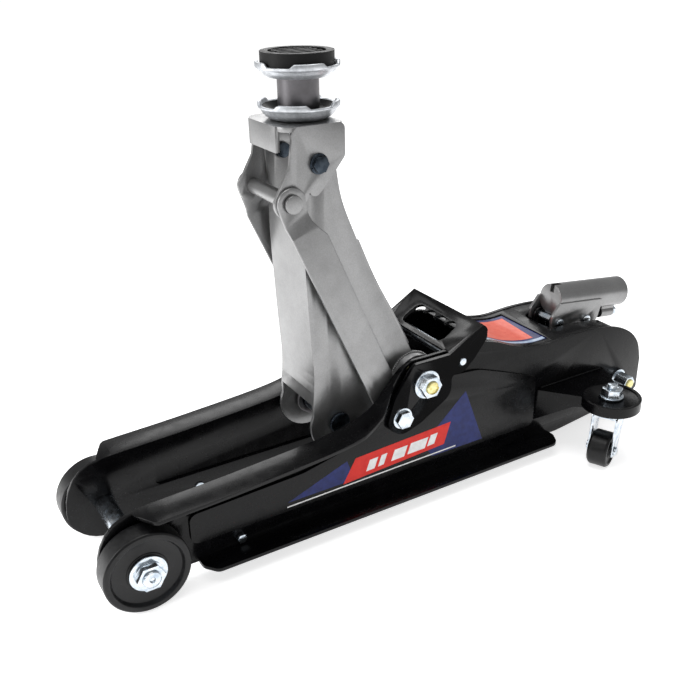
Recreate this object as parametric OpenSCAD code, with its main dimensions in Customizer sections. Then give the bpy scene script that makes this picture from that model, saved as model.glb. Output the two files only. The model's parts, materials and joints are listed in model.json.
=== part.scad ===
// Low-profile hydraulic trolley jack, arm raised, with a saddle extension fitted.
// Front wheels at -X, handle socket at +X, left side at -Y, floor at Z = 0.

/* [Frame] */
// Front wheel diameter
wheel_d = 80; // [76:1:84]
// Front wheel width
wheel_w = 22; // [18:1:24]
// Clear width between the side plates
inner_w = 97; // [97:0.5:99]
// Thickness of the side plates
plate_t = 4; // [3.5:0.5:4]
// Distance from the front axle to the back edge of the side plates
plate_l = 628; // [624:1:632]
// Width of the outward top flange
flange_w = 26.5; // [22:0.5:28]

/* [Lifting arm] */
// Distance from the front axle to the arm pivot
pivot_x = 305; // [303:1:307]
// Height of the arm pivot
pivot_z = 133; // [132:1:134]
// Length of the arm between its two pivots
arm_l = 251.8; // [248:0.2:254]
// Angle of the raised arm above the forward horizontal
arm_up = 66; // [64:1:68]
// Clear width inside the arm
arm_w = 60; // [58:1:60]

/* [Saddle] */
// Diameter of the lower saddle
saddle_d = 72; // [72:1:76]
// Diameter of the extension post
post_d = 36.5; // [34:0.5:38]
// Diameter of the rubber pad
pad_d = 64; // [58:1:64]

/* [Casters] */
// Diameter of the caster wheels
caster_d = 40; // [36:1:42]
// Distance between the two swivel axes
caster_track = 220; // [214:1:226]
// Heading of the near caster, from +X
caster_heading = 205; // [180:1:270]

/* [Handle socket] */
// Outer diameter of the handle tube
tube_d = 35; // [34:0.5:36]
// Inner diameter of the handle tube
tube_bore = 31; // [29:0.5:32]
// Length of the handle tube
tube_l = 110; // [104:1:112]
// Downward slope of the tube towards its mouth
tube_slope = 6.8; // [5:0.2:8]

/* [Hidden] */
$fn = 64;
play = 0.05;          // radial running clearance of every pin
gap = 0.3;            // least distance between parts that pass each other
web_in = inner_w / 2;
web_out = web_in + plate_t;
emboss = 4;           // how far the pressed panel stands proud
face_y = web_out + emboss;
flange_t = 3.5;
flange_y = web_out + flange_w;
floor_gap = 14;       // height of the bottom flange over the floor
leg_t = 4;
leg_in = face_y + 0.1;
leg_out = leg_in + leg_t;

axle_r = 8;
axle_z = wheel_d / 2;
wheel_in = web_out + 2.5;
wheel_out = wheel_in + wheel_w;

offset_x = -29;       // link pivots from the arm pivots, along X
offset_z = -30;       // link pivots from the arm pivots, along Z
arm_x = pivot_x - arm_l * cos(arm_up);
arm_z = pivot_z + arm_l * sin(arm_up);
link_x = pivot_x + offset_x;
link_z = pivot_z + offset_z;
pin_x = arm_x + offset_x;
pin_z = arm_z + offset_z;

cheek_t = 3.6;
arm_in = arm_w / 2;
arm_out = arm_in + cheek_t;
bracket_in = arm_out + 0.4;
bracket_out = bracket_in + 3.5;
link_t = 3.5;
link_high_in = bracket_out + 0.5;
link_low_in = link_high_in + 5.3;
hub_r = 24;
hub_y = link_low_in - 0.5;
shaft_r = 11;

ear_x = 219;          // centre of the ram pin in the arm's ears
ear_z = 103;
ear_r = 31;
ram_pin_r = 9;

ram_z = 60;           // height of the ram's axis
push_l = 72;          // between the two pins of a push link
push_in = 24;
push_t = 4;
cross_x = ear_x + sqrt(push_l * push_l - (ear_z - ram_z) * (ear_z - ram_z));
ram_r = 13;
ram_bore = 22;
tank_x0 = 438;
tank_x1 = 580;
tank_r = 38;
block_x1 = 622;

saddle_x = arm_x + 2.5;
bracket_top = arm_z + 33;
cup_z = bracket_top + 0.4;
stem_r = 12;
post_z = cup_z + 5;
upper_z = post_z + 29.6;
pad_z = upper_z + 4.1;
pad_h = 17.4;
total_z = pad_z + pad_h;

caster_x = 520;
caster_y = caster_track / 2;
caster_trail = 13;
wing_z = 78;
wing_t = 3.5;
stud_r = 5;
caster_w = 22;

socket_x = 522;       // handle socket pivot
socket_z = 133;
tube_up = 23;         // tube axis over the pivot, square to the tube
pump_x = 565;
pump_pin_z = 127.5;
barrel_r = 11;
barrel_z = 88.5;
piston_r = 7;
tube_r = tube_d / 2;
clamp_up = -2;        // clamp bolt's axis over the pivot, square to the tube
clamp_r = 3.5;

tie_x = 592;
tie_z = 58;
rod_x = 350;
rod_z = 146;
bolt_x = 98;
bolt_z = 24;

tube_end_x = socket_x + tube_l * cos(tube_slope) + (tube_up + tube_r) * sin(tube_slope);
mid_x = (tube_end_x - wheel_d / 2) / 2;

black = [0.05, 0.05, 0.055];
silver = [0.62, 0.62, 0.64];
zinc = [0.75, 0.78, 0.82];
gunmetal = [0.4, 0.39, 0.4];

// ---- outline functions: every outline is a list of [x, z] points ----

function unit(v) = v / norm(v);
function turned(a) = a > 180 ? a - 360 : a < -180 ? a + 360 : a;

// One corner of an outline, rounded with the radius in its third value
function corner(before, at, after, steps) =
    let (
        c = [at[0], at[1]],
        u = unit([before[0], before[1]] - c),
        w = unit([after[0], after[1]] - c),
        half = acos(u * w) / 2,
        r = at[2],
        o = c + unit(u + w) * r / sin(half),
        a = c + u * r / tan(half) - o,
        b = c + w * r / tan(half) - o,
        from = atan2(a[1], a[0]),
        sweep = turned(atan2(b[1], b[0]) - from)
    )
    r == 0 ? [c] : [for (i = [0:steps]) let (t = from + sweep * i / steps) o + r * [cos(t), sin(t)]];

function rounded(p, steps = 5) = [
    for (i = [0:len(p) - 1]) each corner(p[(i + len(p) - 1) % len(p)], p[i], p[(i + 1) % len(p)], steps)
];

function arc(x, z, r, from, to, steps = 12) = [
    for (i = [0:steps]) let (t = from + (to - from) * i / steps) [x + r * cos(t), z + r * sin(t)]
];

// Smooth curve through the given points
function blend(a, b, c, d, t) =
    0.5 * (2 * b + (c - a) * t + (2 * a - 5 * b + 4 * c - d) * t ^ 2 + (3 * b - a - 3 * c + d) * t ^ 3);
function curve(p, steps = 4) = [
    for (i = [0:len(p) - 2])
        for (j = [0:steps - 1])
            blend(p[max(i - 1, 0)], p[i], p[i + 1], p[min(i + 2, len(p) - 1)], j / steps),
    p[len(p) - 1]
];

// A strip of thickness t that hangs below a line of points
function normal_at(p, i) =
    let (d = unit(p[min(i + 1, len(p) - 1)] - p[max(i - 1, 0)])) [-d[1], d[0]];
function strip(p, t) = concat(
    p, [for (i = [len(p) - 1:-1:0]) p[i] - t * normal_at(p, i)]
);

frame_front = curve([[-1, 88], [14, 90.5], [88, 94], [182, 101], [223, 108.5], [246, 118], [264, 135],
    [277, 150], [290, 157], [304, 158]]);
frame_rear = curve([[376, 158.5], [404, 150], [433, 138], [467, 131], [506, 132.5], [545, 131],
    [579, 126], [604, 115], [621, 97], [plate_l, 74]]);
cover_line = [for (p = frame_rear) if (p[0] > 379 && p[0] < 581) p - [0, 0.6]];

function frame_outline() = concat(
    arc(0, axle_z, axle_z - 3, -45, -180, 14),
    [for (i = [1:6]) [-(axle_z - 3) * cos(15 * i), axle_z + 48 * sin(15 * i)]],
    frame_front,
    frame_rear,
    [[plate_l, 36], [plate_l - 8, 28], [500, floor_gap], [44, floor_gap]]
);

// Pressed panel of the side plate, drawn in by d
function panel(d) = rounded([
    [48 + d, 37 + d, 8], [48 + d, 69 - d, 8], [165, 74 - d, 60], [222, 86 - d, 60], [256, 108 - d, 30],
    [276, 130 - d, 14], [340, 131 - d, 40], [376, 128 - d, 60], [412, 115 - d, 50], [458 - d, 97 - d, 8],
    [458 - d, 37 + d, 8]
]);

// ---- placing helpers ----

module on_axle() {
    translate([-mid_x, 0, 0]) children();
}

// An [x, z] outline, solid from y0 to y1
module wall(points, y0, y1) {
    translate([0, y1, 0]) rotate([90, 0, 0]) linear_extrude(y1 - y0) polygon(points);
}

// A wall on one side of the jack: side is -1 for left, 1 for right
module side_wall(points, y0, y1, side) {
    wall(points, side < 0 ? -y1 : y0, side < 0 ? -y0 : y1);
}

module bar(x, z, y0, y1, r, sides = 64) {
    translate([x, y0, z]) rotate([-90, 0, 0]) cylinder(r = r, h = y1 - y0, $fn = sides);
}

module side_bar(x, z, y0, y1, r, side, sides = 64) {
    bar(x, z, side < 0 ? -y1 : y0, side < 0 ? -y0 : y1, r, sides);
}

// Turns local X to the given slope in the XZ plane
module inclined(x, z, slope) {
    translate([x, 0, z]) rotate([0, -slope, 0]) children();
}

module each_side() {
    for (flip = [0, 1]) mirror([0, flip, 0]) children();
}

// ---- frame ----

module flange(side) {
    plan = [[-4, web_in], [-2, web_out], [10, flange_y - 3], [14, flange_y], [222, flange_y],
        [248, flange_y - 8], [268, face_y], [290, web_out], [296, web_out], [296, web_in]];
    intersection() {
        side_wall(strip(frame_front, flange_t), web_in, flange_y + 1, side);
        mirror([0, side < 0 ? 1 : 0, 0]) linear_extrude(200) polygon(plan);
    }
}

module bottom_flange(side) {
    plan = rounded([[54, web_in, 0], [54, web_out + 12, 11], [64, web_out + 25, 8], [478, web_out + 25, 10],
        [486, web_out + 10, 8], [486, web_in, 0]]);
    mirror([0, side < 0 ? 1 : 0, 0]) translate([0, 0, floor_gap]) linear_extrude(flange_t) polygon(plan);
}

module side_plate(side) {
    color(black) on_axle() difference() {
        union() {
            difference() {
                side_wall(frame_outline(), web_in, web_out, side);
                side_wall(panel(4), web_in - 1, web_out - 0.5, side);
            }
            side_wall(panel(0), web_out - 0.5, face_y, side);
            flange(side);
            bottom_flange(side);
        }
        side_bar(0, axle_z, 40, 60, axle_r + 0.1, side);
        side_bar(pivot_x, pivot_z, 40, 60, shaft_r + 0.1, side);
        side_bar(link_x, link_z, 40, 60, 6.1, side);
        side_bar(rod_x, rod_z, 40, 60, 4.1, side);
        side_bar(bolt_x, bolt_z, 40, 60, 3.1, side);
        side_bar(tie_x, tie_z, 40, 60, 6.1, side);
    }
}

module side_plate_left() { side_plate(-1); }
module side_plate_right() { side_plate(1); }

// Sheet over the hydraulic unit, with a shallow label panel and a mouth for the handle socket
module top_cover() {
    label = [for (p = cover_line) if (p[0] > 392 && p[0] < 490) p];
    color(black) on_axle() difference() {
        wall(strip(cover_line, 3), -web_in + 0.2, web_in - 0.2);
        wall(strip([for (p = label) p + [0, 1]], 2.2), -40, 40);
        translate([0, 0, 100]) linear_extrude(60)
            polygon(rounded([[504, -25, 12], [504, 25, 12], [600, 25, 0], [600, -25, 0]]));
    }
}

function leg_outline() = rounded([
    [258, 96, 12], [276, 82, 16], [300, 90, 30], [337, 112, 16], [337, 134, 5], [352, 133, 12],
    [366, 146, 20], [382, 166, 8], [376, 181, 6], [334, 157.5, 6], [290, 157.5, 10], [268, 126, 30]
]);

// Fixed grip: two legs bolted outside the side plates, and a sloping plate with a finger slot
module carry_handle() {
    grip_slope = 30;
    grip_l = 50;
    grip_lip = rounded([[0, 7, 0], [6, 7, 5.9], [6, -3, 1], [2.5, -3, 1], [2.5, 3.2, 0], [0, 3.4, 0]]);
    color(black) on_axle() difference() {
        union() {
            each_side() wall(leg_outline(), leg_in, leg_out);
            inclined(333, 157, grip_slope) {
                translate([2, -leg_out, -3.6]) cube([grip_l - 4, 2 * leg_out, 3.6]);
                translate([grip_l - 6, 0, -7]) wall(grip_lip, -leg_out, leg_out);
            }
        }
        inclined(333, 157, grip_slope) {
            translate([7, -36, -10]) linear_extrude(20)
                polygon(rounded([[0, 0, 8], [21, 0, 6], [21, 72, 6], [0, 72, 8]]));
            for (i = [-1.5:1:1.5]) translate([27, 18 * i, -10]) cylinder(r = 8.5, h = 20);
        }
        bar(pivot_x, pivot_z, -70, 70, shaft_r + 0.1);
        bar(link_x, link_z, -70, 70, 6.1);
        bar(rod_x, rod_z, -70, 70, 4.1);
        each_side() wall([[330, 140], [345, 140], [345, 158.9], [330, 158.9]], web_in - gap, web_out + gap);
    }
}

module handle_rod() {
    color(zinc) on_axle() union() {
        bar(rod_x, rod_z, -leg_out - 1.5, leg_out + 1.5, 4);
        bar(rod_x, rod_z, -web_in + 0.2, web_in - 0.2, 6);
    }
}

module front_axle() {
    color(zinc) on_axle() difference() {
        union() {
            bar(0, axle_z, -wheel_out - 10, wheel_out + 10, axle_r);
            bar(0, axle_z, -web_in, web_in, axle_r + 1.5);
            each_side() bar(0, axle_z, web_out, wheel_in - gap, axle_r + 5);
        }
        each_side() bar(0, axle_z, wheel_out + 8, wheel_out + 11, 2.5);
    }
}

module axle_washers() {
    color(zinc) on_axle() each_side() difference() {
        bar(0, axle_z, wheel_out - 2.6, wheel_out, 17.5);
        bar(0, axle_z, wheel_out - 3, wheel_out + 1, axle_r + 0.1);
    }
}

module axle_nuts() {
    color(zinc) on_axle() each_side() difference() {
        union() {
            bar(0, axle_z, wheel_out, wheel_out + 2, 13);
            bar(0, axle_z, wheel_out + 1, wheel_out + 8, 13.2, 6);
        }
        bar(0, axle_z, wheel_out - 1, wheel_out + 9, axle_r + 0.1);
    }
}

module front_wheel(side) {
    r = wheel_d / 2;
    half = [[axle_r + play, 0], [20, 0], [22, 2.5], [r - 8, 2.5], [r - 6, 0], [r - 1.5, 0], [r, 1.5],
        [r, wheel_w - 1.5], [r - 1.5, wheel_w], [r - 6, wheel_w], [r - 8, wheel_w - 4], [19, wheel_w - 4],
        [19, wheel_w - 3], [axle_r + play, wheel_w - 3]];
    color(black) on_axle()
        translate([0, side * wheel_in, axle_z]) rotate([side < 0 ? 90 : -90, 0, 0])
        rotate_extrude($fn = 96) polygon(half);
}

module front_wheel_left() { front_wheel(-1); }
module front_wheel_right() { front_wheel(1); }

module plate_bolts() {
    color(zinc) on_axle() each_side() {
        bar(bolt_x, bolt_z, web_in, web_out, 3);
        bar(bolt_x, bolt_z, web_in - 1.2, web_in, 5);
        bar(bolt_x, bolt_z, web_out, web_out + 4, 5, 6);
    }
}

module arm_shaft() {
    color(zinc) on_axle() union() {
        bar(pivot_x, pivot_z, -leg_out, leg_out, shaft_r);
        bar(pivot_x, pivot_z, -leg_out - 12, leg_out + 12, 6.5);
    }
}

module arm_shaft_nuts() {
    color(zinc) on_axle() each_side() difference() {
        union() {
            bar(pivot_x, pivot_z, leg_out, leg_out + 2.5, 15);
            bar(pivot_x, pivot_z, leg_out + 2.5, leg_out + 10.5, 12.2, 6);
        }
        bar(pivot_x, pivot_z, leg_out - 1, leg_out + 12, 6.6);
    }
}

module link_bolts() {
    color(zinc) on_axle() each_side() {
        bar(link_x, link_z, link_low_in - 0.5, leg_out, 6);
        bar(link_x, link_z, leg_out, leg_out + 2, 11);
        bar(link_x, link_z, leg_out + 2, leg_out + 7.5, 9.5, 6);
    }
}

module rear_tie_bolt() {
    color(zinc) on_axle() union() {
        bar(tie_x, tie_z, -web_out - 22, web_out + 22, 5);
        bar(tie_x, tie_z, -web_out, web_out, 6);
    }
}

module rear_tie_nuts() {
    color(zinc) on_axle() each_side() difference() {
        union() {
            bar(tie_x, tie_z, web_out, web_out + 3, 11);
            bar(tie_x, tie_z, web_out + 3, web_out + 20, 8.6, 6);
        }
        bar(tie_x, tie_z, web_out - 1, web_out + 21, 5.1);
    }
}

// ---- casters ----

// Flared shelf welded to the side plate, ending in a dished disc
module caster_wing(side) {
    r = 31;
    y = caster_y;
    plan = concat([[462, web_out]], arc(caster_x, y, r, 212, -32, 24), [[566, web_out]]);
    skirt = [[462, web_out], [caster_x + r * cos(212), y + r * sin(212)]];
    color(black) on_axle() mirror([0, side < 0 ? 1 : 0, 0]) difference() {
        union() {
            translate([0, 0, wing_z - wing_t]) linear_extrude(wing_t) polygon(plan);
            translate([caster_x, y, wing_z - 10]) difference() {
                cylinder(r = r + 1, h = 11.5, $fn = 96);
                translate([0, 0, -1]) cylinder(r = r - 2.5, h = 14, $fn = 96);
                translate([-60, -60, 10.4]) cube([120, 60 + 10 - r, 6]);
            }
            // front skirt, deepest at the side plate
            intersection() {
                linear_extrude(wing_z)
                    polygon([skirt[0], skirt[1], skirt[1] + [3.4, 0], skirt[0] + [3.6, 0]]);
                rotate([90, 0, 90]) linear_extrude(700)
                    polygon([[web_out, 40], [web_out, wing_z], [y, wing_z], [y, wing_z - 10],
                        [web_out + 34, wing_z - 14]]);
            }
            translate([470, web_out, 46]) cube([92, 3, wing_z - 46]);
        }
        translate([caster_x, y, wing_z - 20]) cylinder(r = stud_r + play, h = 40);
    }
}

module caster_wing_left() { caster_wing(-1); }
module caster_wing_right() { caster_wing(1); }

module caster_place(side) {
    on_axle() translate([caster_x, side * caster_y, 0]) rotate([0, 0, -side * caster_heading])
        children();
}

module caster_head(side) {
    color(black) on_axle() translate([caster_x, side * caster_y, 0]) difference() {
        translate([0, 0, 61]) cylinder(r = 17, h = wing_z - wing_t - 61);
        translate([0, 0, 50]) cylinder(r = stud_r + play, h = 40);
    }
}

module caster_head_left() { caster_head(-1); }
module caster_head_right() { caster_head(1); }

module caster_fork(side) {
    leg = rounded([[-15, 60.5, 4], [15, 60.5, 4], [caster_trail + 8, 16, 0], [caster_trail, 12, 5],
        [caster_trail - 8, 16, 0]]);
    color(zinc) caster_place(side) difference() {
        union() {
            for (s = [-1, 1]) side_wall(leg, caster_w / 2 + 1, caster_w / 2 + 3.2, s);
            translate([-14, -caster_w / 2 - 2, 57]) cube([28, caster_w + 4, 3.5]);
            translate([0, 0, 57]) cylinder(r = stud_r, h = wing_z + 16 - 57);
        }
        bar(caster_trail, caster_d / 2, -30, 30, 3.1);
    }
}

module caster_fork_left() { caster_fork(-1); }
module caster_fork_right() { caster_fork(1); }

module caster_axle(side) {
    w = caster_w / 2 + 3.2;
    color(zinc) caster_place(side) {
        bar(caster_trail, caster_d / 2, -w, w, 3);
        bar(caster_trail, caster_d / 2, w, w + 2.5, 5);
        bar(caster_trail, caster_d / 2, -w - 2.5, -w, 5);
    }
}

module caster_axle_left() { caster_axle(-1); }
module caster_axle_right() { caster_axle(1); }

module caster_nut(side) {
    color(zinc) caster_place(side) difference() {
        union() {
            translate([0, 0, wing_z + gap]) cylinder(r = 13, h = 2.2);
            translate([0, 0, wing_z + 2 + gap]) cylinder(r = 11.5, h = 9, $fn = 6);
        }
        translate([0, 0, wing_z - 1]) cylinder(r = stud_r + 0.1, h = 20);
    }
}

module caster_nut_left() { caster_nut(-1); }
module caster_nut_right() { caster_nut(1); }

module caster_wheel(side) {
    r = caster_d / 2;
    w = caster_w / 2;
    half = [[3 + play, -w], [8, -w], [9.5, -w + 2], [r - 5, -w + 2], [r - 4, -w], [r - 2, -w],
        [r, -w + 2.5], [r, w - 2.5], [r - 2, w], [r - 4, w], [r - 5, w - 2], [9.5, w - 2], [8, w],
        [3 + play, w]];
    color(black) caster_place(side) translate([caster_trail, 0, r]) rotate([90, 0, 0])
        rotate_extrude() polygon(half);
}

module caster_wheel_left() { caster_wheel(-1); }
module caster_wheel_right() { caster_wheel(1); }

// ---- lifting train ----

front_line = curve([[191, 128], [193, 159], [191, 196], [189, 236], [187, 290], [188, 322]]);
back_line = [[222, 355], [227, 327], [240, 293], [261, 245], [288, 194], [305, 160]];

function cheek_outline() = concat(
    front_line,
    arc(arm_x, arm_z, 17.5, 180, 0, 12),
    curve(back_line),
    arc(pivot_x, pivot_z, hub_r, 20, -110, 8),
    [[262, 101]],
    arc(ear_x, ear_z, ear_r, -50, -205, 14)
);

// Pressed channel, open at the back: two cheeks, a front panel, a hub tube and two inner braces
module lift_arm() {
    color(silver) on_axle() difference() {
        union() {
            each_side() wall(cheek_outline(), arm_in, arm_out);
            wall(strip([for (i = [len(front_line) - 1:-1:0]) front_line[i]], -4), -arm_in - 1, arm_in + 1);
            each_side() wall(arc(pivot_x, pivot_z, hub_r, 0, 352.5, 47), arm_in - 1, hub_y);
            bar(pivot_x, pivot_z, -arm_in - 1, arm_in + 1, 19);
            bar(pivot_x, pivot_z, -web_in + gap, web_in - gap, 18);
            wall([[218, 246], [242, 226], [244, 230], [220, 250]], -arm_in - 1, arm_in + 1);
            wall([[259, 200], [286, 172], [289, 175], [262, 203]], -arm_in - 1, arm_in + 1);
        }
        bar(pivot_x, pivot_z, -60, 60, shaft_r + play);
        bar(arm_x, arm_z, -60, 60, 7 + play);
        bar(ear_x, ear_z, -60, 60, ram_pin_r + 0.1);
    }
}

module ram_pin() {
    color(gunmetal) on_axle() union() {
        bar(ear_x, ear_z, -arm_out - 1, arm_out + 1, ram_pin_r);
        each_side() bar(ear_x, ear_z, arm_out, arm_out + 3.6, ram_pin_r + 2);
    }
}

function bracket_outline() = concat(
    rounded([[174, bracket_top, 8], [229, bracket_top, 6], [229, 367, 8], [214, 349, 20], [196, 330, 6]]),
    arc(pin_x, pin_z, 15, -40, -190, 12),
    [[168, 352], [174, 362]]
);

// Inverted U that carries the saddle, with a short tab folded down in front
module saddle_bracket() {
    top = rounded([[170, -bracket_out, 12], [170, bracket_out, 12], [229, bracket_out, 7],
        [229, -bracket_out, 7]]);
    color(silver) on_axle() difference() {
        union() {
            each_side() wall(bracket_outline(), bracket_in, bracket_out);
            translate([0, 0, bracket_top - 4]) linear_extrude(4) polygon(top);
            translate([168, -25.5, bracket_top - 22]) cube([4, 51, 22]);
        }
        bar(arm_x, arm_z, -60, 60, 7.1);
        bar(pin_x, pin_z, -60, 60, 7.1);
        translate([saddle_x, 0, bracket_top - 10]) cylinder(r = stem_r + play, h = 20);
    }
}

module bracket_bolts() {
    color(zinc) on_axle() each_side() {
        bar(arm_x, arm_z, arm_in - 3, bracket_out, 7);
        bar(arm_x, arm_z, bracket_out, bracket_out + 1.2, 9);
        bar(arm_x, arm_z, bracket_out + 1.2, bracket_out + 5.3, 7.8, 6);
    }
}

module link_pin() {
    color(silver) on_axle() union() {
        bar(pin_x, pin_z, -link_high_in - link_t - 0.5, link_high_in + link_t + 0.5, 7);
        each_side() bar(pin_x, pin_z, link_high_in + link_t + 0.4, link_high_in + link_t + 4, 8.2);
    }
}

// Parallel link: a narrow eye beside the bracket, a joggle outwards, then a broad strap.
// Local X runs from the top pin to the lower bolt.
module link(side) {
    outline = concat(
        arc(0, 0, 14, 90, 270, 12),
        [[26, -16], [arm_l, -16]],
        arc(arm_l, 0, 16, -75, 75, 10),
        [[arm_l, 16], [40, 16], [30, 11], [22, 9], [12, 10]]
    );
    joggle = [[-20, link_high_in], [17, link_high_in], [28, link_low_in], [arm_l + 20, link_low_in],
        [arm_l + 20, link_low_in + link_t], [27, link_low_in + link_t], [16, link_high_in + link_t],
        [-20, link_high_in + link_t]];
    color(silver) on_axle() inclined(pin_x, pin_z, -arm_up) difference() {
        intersection() {
            side_wall(outline, link_high_in - 1, web_in, side);
            translate([0, 0, -30]) linear_extrude(60) polygon([for (p = joggle) [p[0], side * p[1]]]);
        }
        side_bar(0, 0, 30, 60, 7 + play, side);
        side_bar(arm_l, 0, 30, 60, 6 + play, side);
    }
}

module link_left() { link(-1); }
module link_right() { link(1); }

// ---- saddle and extension ----

// Cup profile: a flat base, a sloping wall and a rim; then four notches make the castellations
module cup(z, r, base, h, bore, turn) {
    wall_t = 3.2;
    half = [[bore, 0], [base, 0], [r - 3, h - 7], [r, h - 5], [r, h], [r - wall_t, h],
        [r - wall_t - 1, h - 4], [base - 2, 4], [bore, 4]];
    translate([saddle_x, 0, z]) difference() {
        rotate_extrude($fn = 96) polygon(half);
        for (a = [0:90:270]) rotate([0, 0, a + turn]) translate([r - 10, -13, h - 3.4]) cube([20, 26, 10]);
    }
}

module lower_saddle() {
    color([0.74, 0.75, 0.77]) on_axle() difference() {
        union() {
            cup(cup_z, saddle_d / 2, 24, 15, 8, 7);
            translate([saddle_x, 0, bracket_top - 12]) cylinder(r = stem_r, h = 14);
        }
        translate([saddle_x, 0, bracket_top - 20]) cylinder(r = 9.3, h = 40);
    }
}

module extension_post() {
    color(gunmetal) on_axle() translate([saddle_x, 0, 0]) union() {
        translate([0, 0, post_z]) cylinder(r = post_d / 2, h = upper_z - post_z);
        translate([0, 0, cup_z - 8]) cylinder(r = 9, h = 14);
        translate([0, 0, upper_z - 1]) cylinder(r = 8, h = 5);
    }
}

module upper_saddle() {
    color([0.74, 0.75, 0.77]) on_axle() difference() {
        cup(upper_z, saddle_d / 2 + 0.6, 24, 13.5, 6, 33);
        translate([saddle_x, 0, upper_z - 10]) cylinder(r = 8.1, h = 30);
    }
}

// Pad that drops into the upper cup, with a raised ring and gripping bars on its face
module rubber_pad() {
    r = pad_d / 2;
    color([0.03, 0.03, 0.03]) on_axle() translate([saddle_x, 0, pad_z]) {
        cylinder(r1 = r - 10.5, r2 = r - 1, h = 5.6);
        difference() {
            translate([0, 0, 5.5]) cylinder(r = r, h = pad_h - 5.5);
            translate([0, 0, pad_h - 3]) cylinder(r = r - 7, h = 10);
        }
        for (y = [-18:9:18]) translate([13 - r, y - 2, pad_h - 3.2]) cube([pad_d - 26, 4, 2.6]);
    }
}

// ---- hydraulic unit ----

module rail(x0, x1, r, y = 0, z = ram_z) {
    translate([x0, y, z]) rotate([0, 90, 0]) cylinder(r = r, h = x1 - x0);
}

module ram_rod() {
    color(zinc) on_axle() union() {
        rail(cross_x + 14, tank_x0 + 10, ram_r);
        rail(tank_x0 + 10, tank_x0 + 20, ram_bore - play);
    }
}

// Head on the end of the ram, with the stub pins for the push links
module crosshead() {
    color(gunmetal) on_axle() union() {
        translate([cross_x - 13, -push_in + 3, ram_z - 15]) cube([27, 2 * push_in - 6, 30]);
        bar(cross_x, ram_z, -push_in + 0.4, push_in - 0.4, 8);
    }
}

// Bar clamped to the ram by its collar, which the return springs hook on
module spring_bar() {
    color(zinc) on_axle() difference() {
        union() {
            translate([cross_x + 22, -web_in + 1.5, ram_z - 7]) cube([7, 2 * web_in - 3, 14]);
            rail(cross_x + 20, cross_x + 31, ram_r + 5);
        }
        rail(cross_x, cross_x + 40, ram_r + 0.1);
    }
}

module push_link(side) {
    slope = -asin((ear_z - ram_z) / push_l);
    outline = concat(arc(0, 0, 14.5, 90, 270, 12), arc(push_l, 0, 13, -90, 90, 12));
    color(gunmetal) on_axle() inclined(ear_x, ear_z, slope) difference() {
        side_wall(outline, push_in, push_in + push_t, side);
        side_bar(0, 0, 10, 40, ram_pin_r + play, side);
    }
}

module push_link_left() { push_link(-1); }
module push_link_right() { push_link(1); }

module return_springs() {
    color(zinc) on_axle() for (y = [-43.5, 43.5]) rail(cross_x + 29, tank_x1, 3.8, y);
}

module pressure_cylinder() {
    color(gunmetal) on_axle() difference() {
        rail(tank_x0 - 6, tank_x1, 27);
        rail(tank_x0 + 8, tank_x1 + 1, ram_bore);
        rail(tank_x0 - 10, tank_x1, ram_r + play);
    }
}

module reservoir() {
    color(black) on_axle() difference() {
        rail(tank_x0, tank_x1, tank_r);
        rail(tank_x0 + 4, tank_x1 + 1, tank_r - 4);
        rail(tank_x0 - 1, tank_x1, 27.1);
        translate([pump_x, 0, ram_z]) cylinder(r = barrel_r + 0.1, h = 60);
    }
}

// Base casting behind the cylinder, a deck over it, and two lugs for the handle socket
module power_block() {
    lug = concat([[socket_x - 12, 99]], arc(socket_x, socket_z, 9, 180, 0), [[socket_x + 12, 99]]);
    color(black) on_axle() difference() {
        union() {
            wall(rounded([[tank_x1, 24, 0], [block_x1, 24, 6], [block_x1, 92, 6], [tank_x1 + 20, 106, 0],
                [tank_x1, 106, 0]]), -web_in + 2.5, web_in - 2.5);
            translate([508, -15.5, tank_r + ram_z + 0.5]) cube([tank_x1 - 507, 31, 7]);
            for (s = [-1, 1]) side_wall(lug, 11, 15.5, s);
        }
        bar(tie_x, tie_z, -60, 60, 6.1);
        bar(socket_x, socket_z, -30, 30, 5.1);
        translate([pump_x, 0, ram_z]) cylinder(r = barrel_r + 0.1, h = 60);
        rail(block_x1 - 20, block_x1 + 1, 6 + play, -18, 72);
    }
}

// Pump barrel standing in the top of the reservoir
module pump_body() {
    color(gunmetal) on_axle() difference() {
        translate([pump_x, 0, barrel_z]) cylinder(r = barrel_r, h = 24);
        translate([pump_x, 0, barrel_z + 3]) cylinder(r = piston_r + play, h = 30);
    }
}

module pump_piston() {
    color(zinc) on_axle() translate([pump_x, 0, 0]) {
        translate([0, 0, barrel_z + 3.5]) cylinder(r = piston_r, h = 26);
        translate([0, 0, 117]) cylinder(r = 9, h = pump_pin_z - 4.5 - 117);
    }
}

module release_valve() {
    color(zinc) on_axle() difference() {
        union() {
            rail(block_x1 - 18, block_x1 + 4, 6, -18, 72);
            rail(block_x1 + 0.5, block_x1 + 6, 9, -18, 72);
        }
        translate([block_x1 + 3, -30, 70.5]) cube([10, 24, 3]);
    }
}

// ---- handle socket ----

module socket_pin() {
    color(zinc) on_axle() bar(socket_x, socket_z, -22, 22, 5);
}

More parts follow.
